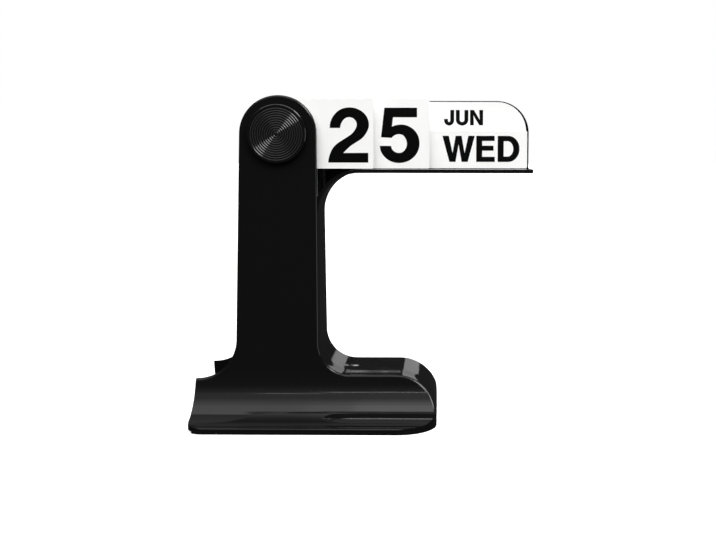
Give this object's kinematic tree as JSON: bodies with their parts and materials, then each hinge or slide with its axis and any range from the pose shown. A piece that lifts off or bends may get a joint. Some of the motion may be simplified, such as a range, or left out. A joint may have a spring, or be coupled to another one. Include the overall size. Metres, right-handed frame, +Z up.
{
  "type": "perpetual desk calendar",
  "caption": "Perpetual desk calendar: a C-shaped stand whose pivot carries swinging cards for day number, weekday and month.",
  "frame": {"origin": "middle of the overall outline, on the surface the calendar stands on", "axes": "+X to the right along the arm that shows the cards, +Y from the front to the back, +Z up"},
  "size_m": [0.1658, 0.09, 0.1603],
  "materials": {
    "body_plastic": "moulded glossy black ABS",
    "button_plastic": "moulded black ABS with turned ring grooves",
    "card_sheet": "white PVC sheet, printed in black"
  },
  "bodies": {
    "housing": {"front_shell": "body_plastic", "rear_shell": "body_plastic", "front_pivot_button": "button_plastic", "rear_pivot_button": "button_plastic"},
    "tens_card_0": {"tens_card_0": "card_sheet"},
    "tens_card_1": {"tens_card_1": "card_sheet"},
    "tens_card_2": {"tens_card_2": "card_sheet"},
    "tens_card_3": {"tens_card_3": "card_sheet"},
    "units_card_0": {"units_card_0": "card_sheet"},
    "units_card_1": {"units_card_1": "card_sheet"},
    "units_card_2": {"units_card_2": "card_sheet"},
    "units_card_3": {"units_card_3": "card_sheet"},
    "units_card_4": {"units_card_4": "card_sheet"},
    "units_card_5": {"units_card_5": "card_sheet"},
    "units_card_6": {"units_card_6": "card_sheet"},
    "units_card_7": {"units_card_7": "card_sheet"},
    "units_card_8": {"units_card_8": "card_sheet"},
    "units_card_9": {"units_card_9": "card_sheet"},
    "day_card_mon": {"day_card_mon": "card_sheet"},
    "day_card_tue": {"day_card_tue": "card_sheet"},
    "day_card_wed": {"day_card_wed": "card_sheet"},
    "day_card_thu": {"day_card_thu": "card_sheet"},
    "day_card_fri": {"day_card_fri": "card_sheet"},
    "day_card_sat": {"day_card_sat": "card_sheet"},
    "day_card_sun": {"day_card_sun": "card_sheet"},
    "month_card_jan": {"month_card_jan": "card_sheet"},
    "month_card_feb": {"month_card_feb": "card_sheet"},
    "month_card_mar": {"month_card_mar": "card_sheet"},
    "month_card_apr": {"month_card_apr": "card_sheet"},
    "month_card_may": {"month_card_may": "card_sheet"},
    "month_card_jun": {"month_card_jun": "card_sheet"},
    "month_card_jul": {"month_card_jul": "card_sheet"},
    "month_card_aug": {"month_card_aug": "card_sheet"},
    "month_card_sep": {"month_card_sep": "card_sheet"},
    "month_card_oct": {"month_card_oct": "card_sheet"},
    "month_card_nov": {"month_card_nov": "card_sheet"},
    "month_card_dec": {"month_card_dec": "card_sheet"}
  },
  "joints": [
    {"name": "tens_card_0_swing", "type": "hinge", "parent": "housing", "child": "tens_card_0", "pos_m": [-0.04295, -0.01152, 0.1412], "axis": [0, -1, 0], "range_deg": [-270, 0]},
    {"name": "tens_card_1_swing", "type": "hinge", "parent": "housing", "child": "tens_card_1", "pos_m": [-0.04295, -0.0108, 0.1412], "axis": [0, -1, 0], "range_deg": [-270, 0]},
    {"name": "tens_card_2_swing", "type": "hinge", "parent": "housing", "child": "tens_card_2", "pos_m": [-0.04295, -0.01008, 0.1412], "axis": [0, -1, 0], "range_deg": [0, 270]},
    {"name": "tens_card_3_swing", "type": "hinge", "parent": "housing", "child": "tens_card_3", "pos_m": [-0.04295, -0.00936, 0.1412], "axis": [0, -1, 0], "range_deg": [-270, 0]},
    {"name": "units_card_0_swing", "type": "hinge", "parent": "housing", "child": "units_card_0", "pos_m": [-0.04295, -0.00864, 0.1412], "axis": [0, -1, 0], "range_deg": [-270, 0]},
    {"name": "units_card_1_swing", "type": "hinge", "parent": "housing", "child": "units_card_1", "pos_m": [-0.04295, -0.00792, 0.1412], "axis": [0, -1, 0], "range_deg": [-270, 0]},
    {"name": "units_card_2_swing", "type": "hinge", "parent": "housing", "child": "units_card_2", "pos_m": [-0.04295, -0.0072, 0.1412], "axis": [0, -1, 0], "range_deg": [-270, 0]},
    {"name": "units_card_3_swing", "type": "hinge", "parent": "housing", "child": "units_card_3", "pos_m": [-0.04295, -0.00648, 0.1412], "axis": [0, -1, 0], "range_deg": [-270, 0]},
    {"name": "units_card_4_swing", "type": "hinge", "parent": "housing", "child": "units_card_4", "pos_m": [-0.04295, -0.00576, 0.1412], "axis": [0, -1, 0], "range_deg": [-270, 0]},
    {"name": "units_card_5_swing", "type": "hinge", "parent": "housing", "child": "units_card_5", "pos_m": [-0.04295, -0.00504, 0.1412], "axis": [0, -1, 0], "range_deg": [0, 270]},
    {"name": "units_card_6_swing", "type": "hinge", "parent": "housing", "child": "units_card_6", "pos_m": [-0.04295, -0.00432, 0.1412], "axis": [0, -1, 0], "range_deg": [-270, 0]},
    {"name": "units_card_7_swing", "type": "hinge", "parent": "housing", "child": "units_card_7", "pos_m": [-0.04295, -0.0036, 0.1412], "axis": [0, -1, 0], "range_deg": [-270, 0]},
    {"name": "units_card_8_swing", "type": "hinge", "parent": "housing", "child": "units_card_8", "pos_m": [-0.04295, -0.00288, 0.1412], "axis": [0, -1, 0], "range_deg": [-270, 0]},
    {"name": "units_card_9_swing", "type": "hinge", "parent": "housing", "child": "units_card_9", "pos_m": [-0.04295, -0.00216, 0.1412], "axis": [0, -1, 0], "range_deg": [-270, 0]},
    {"name": "day_card_mon_swing", "type": "hinge", "parent": "housing", "child": "day_card_mon", "pos_m": [-0.04295, -0.00144, 0.1412], "axis": [0, -1, 0], "range_deg": [-270, 0]},
    {"name": "day_card_tue_swing", "type": "hinge", "parent": "housing", "child": "day_card_tue", "pos_m": [-0.04295, -0.00072, 0.1412], "axis": [0, -1, 0], "range_deg": [-270, 0]},
    {"name": "day_card_wed_swing", "type": "hinge", "parent": "housing", "child": "day_card_wed", "pos_m": [-0.04295, 0, 0.1412], "axis": [0, -1, 0], "range_deg": [0, 270]},
    {"name": "day_card_thu_swing", "type": "hinge", "parent": "housing", "child": "day_card_thu", "pos_m": [-0.04295, 0.00072, 0.1412], "axis": [0, -1, 0], "range_deg": [-270, 0]},
    {"name": "day_card_fri_swing", "type": "hinge", "parent": "housing", "child": "day_card_fri", "pos_m": [-0.04295, 0.00144, 0.1412], "axis": [0, -1, 0], "range_deg": [-270, 0]},
    {"name": "day_card_sat_swing", "type": "hinge", "parent": "housing", "child": "day_card_sat", "pos_m": [-0.04295, 0.00216, 0.1412], "axis": [0, -1, 0], "range_deg": [-270, 0]},
    {"name": "day_card_sun_swing", "type": "hinge", "parent": "housing", "child": "day_card_sun", "pos_m": [-0.04295, 0.00288, 0.1412], "axis": [0, -1, 0], "range_deg": [-270, 0]},
    {"name": "month_card_jan_swing", "type": "hinge", "parent": "housing", "child": "month_card_jan", "pos_m": [-0.04295, 0.0036, 0.1412], "axis": [0, -1, 0], "range_deg": [-270, 0]},
    {"name": "month_card_feb_swing", "type": "hinge", "parent": "housing", "child": "month_card_feb", "pos_m": [-0.04295, 0.00432, 0.1412], "axis": [0, -1, 0], "range_deg": [-270, 0]},
    {"name": "month_card_mar_swing", "type": "hinge", "parent": "housing", "child": "month_card_mar", "pos_m": [-0.04295, 0.00504, 0.1412], "axis": [0, -1, 0], "range_deg": [-270, 0]},
    {"name": "month_card_apr_swing", "type": "hinge", "parent": "housing", "child": "month_card_apr", "pos_m": [-0.04295, 0.00576, 0.1412], "axis": [0, -1, 0], "range_deg": [-270, 0]},
    {"name": "month_card_may_swing", "type": "hinge", "parent": "housing", "child": "month_card_may", "pos_m": [-0.04295, 0.00648, 0.1412], "axis": [0, -1, 0], "range_deg": [-270, 0]},
    {"name": "month_card_jun_swing", "type": "hinge", "parent": "housing", "child": "month_card_jun", "pos_m": [-0.04295, 0.0072, 0.1412], "axis": [0, -1, 0], "range_deg": [0, 270]},
    {"name": "month_card_jul_swing", "type": "hinge", "parent": "housing", "child": "month_card_jul", "pos_m": [-0.04295, 0.00792, 0.1412], "axis": [0, -1, 0], "range_deg": [-270, 0]},
    {"name": "month_card_aug_swing", "type": "hinge", "parent": "housing", "child": "month_card_aug", "pos_m": [-0.04295, 0.00864, 0.1412], "axis": [0, -1, 0], "range_deg": [-270, 0]},
    {"name": "month_card_sep_swing", "type": "hinge", "parent": "housing", "child": "month_card_sep", "pos_m": [-0.04295, 0.00936, 0.1412], "axis": [0, -1, 0], "range_deg": [-270, 0]},
    {"name": "month_card_oct_swing", "type": "hinge", "parent": "housing", "child": "month_card_oct", "pos_m": [-0.04295, 0.01008, 0.1412], "axis": [0, -1, 0], "range_deg": [-270, 0]},
    {"name": "month_card_nov_swing", "type": "hinge", "parent": "housing", "child": "month_card_nov", "pos_m": [-0.04295, 0.0108, 0.1412], "axis": [0, -1, 0], "range_deg": [-270, 0]},
    {"name": "month_card_dec_swing", "type": "hinge", "parent": "housing", "child": "month_card_dec", "pos_m": [-0.04295, 0.01152, 0.1412], "axis": [0, -1, 0], "range_deg": [-270, 0]}
  ]
}
